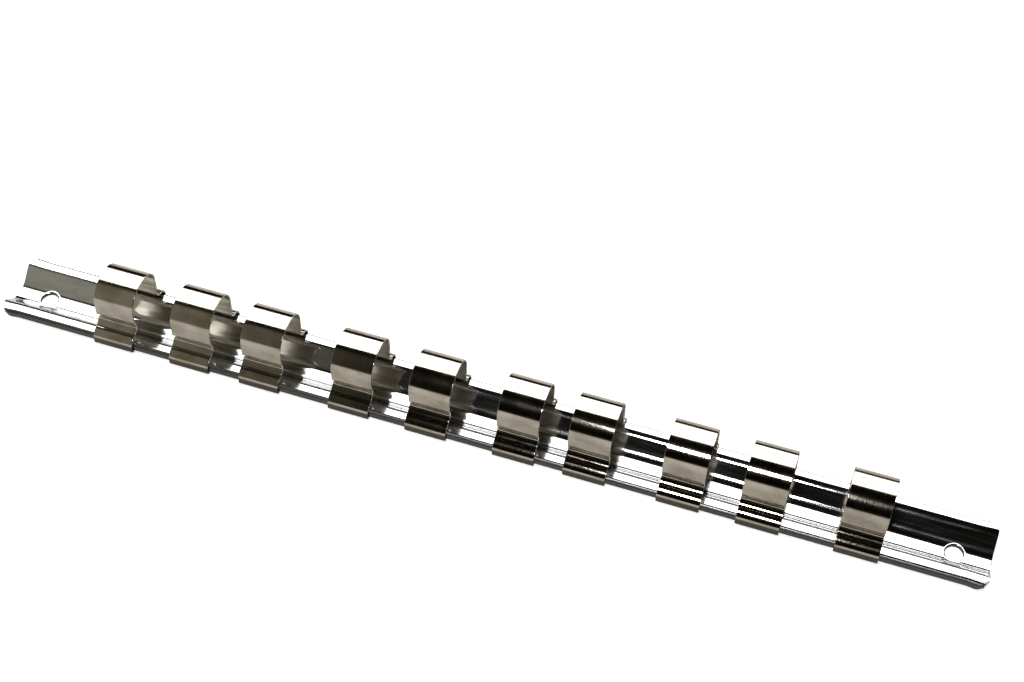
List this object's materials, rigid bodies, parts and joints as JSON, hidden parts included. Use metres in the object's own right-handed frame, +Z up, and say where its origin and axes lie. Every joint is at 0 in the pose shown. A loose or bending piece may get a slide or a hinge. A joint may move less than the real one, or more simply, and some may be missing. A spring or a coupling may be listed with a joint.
{
  "type": "socket rail",
  "caption": "Cold-formed steel rail with spring clips that slide along it; each clip's sprung loop fills the square drive of a socket and holds it upright.",
  "frame": {"origin": "On the bench surface, under the middle of the rail.", "axes": "+X runs along the rail, its longest extent; +Y goes across it; +Z points up through the clips' roofs."},
  "size_m": [0.288, 0.0226, 0.021],
  "materials": {
    "rail_plate": "bright zinc or chrome plate over cold-rolled steel",
    "clip_plate": "warm nickel plate over spring steel"
  },
  "bodies": {
    "rail": {"rail": "rail_plate"},
    "clip_01": {"clip_01": "clip_plate"},
    "clip_02": {"clip_02": "clip_plate"},
    "clip_03": {"clip_03": "clip_plate"},
    "clip_04": {"clip_04": "clip_plate"},
    "clip_05": {"clip_05": "clip_plate"},
    "clip_06": {"clip_06": "clip_plate"},
    "clip_07": {"clip_07": "clip_plate"},
    "clip_08": {"clip_08": "clip_plate"},
    "clip_09": {"clip_09": "clip_plate"},
    "clip_10": {"clip_10": "clip_plate"}
  },
  "joints": [
    {"name": "clip_01_slide", "type": "slide", "parent": "rail", "child": "clip_01", "axis": [1, 0, 0], "range_m": [-0.0242, 0.0056]},
    {"name": "clip_02_slide", "type": "slide", "parent": "rail", "child": "clip_02", "axis": [1, 0, 0], "range_m": [-0.0056, 0.0045]},
    {"name": "clip_03_slide", "type": "slide", "parent": "rail", "child": "clip_03", "axis": [1, 0, 0], "range_m": [-0.0045, 0.0073]},
    {"name": "clip_04_slide", "type": "slide", "parent": "rail", "child": "clip_04", "axis": [1, 0, 0], "range_m": [-0.0073, 0.0052]},
    {"name": "clip_05_slide", "type": "slide", "parent": "rail", "child": "clip_05", "axis": [1, 0, 0], "range_m": [-0.0052, 0.0066]},
    {"name": "clip_06_slide", "type": "slide", "parent": "rail", "child": "clip_06", "axis": [1, 0, 0], "range_m": [-0.0066, 0.004]},
    {"name": "clip_07_slide", "type": "slide", "parent": "rail", "child": "clip_07", "axis": [1, 0, 0], "range_m": [-0.004, 0.007]},
    {"name": "clip_08_slide", "type": "slide", "parent": "rail", "child": "clip_08", "axis": [1, 0, 0], "range_m": [-0.007, 0.0048]},
    {"name": "clip_09_slide", "type": "slide", "parent": "rail", "child": "clip_09", "axis": [1, 0, 0], "range_m": [-0.0048, 0.0073]},
    {"name": "clip_10_slide", "type": "slide", "parent": "rail", "child": "clip_10", "axis": [1, 0, 0], "range_m": [-0.0073, 0.0227]}
  ]
}
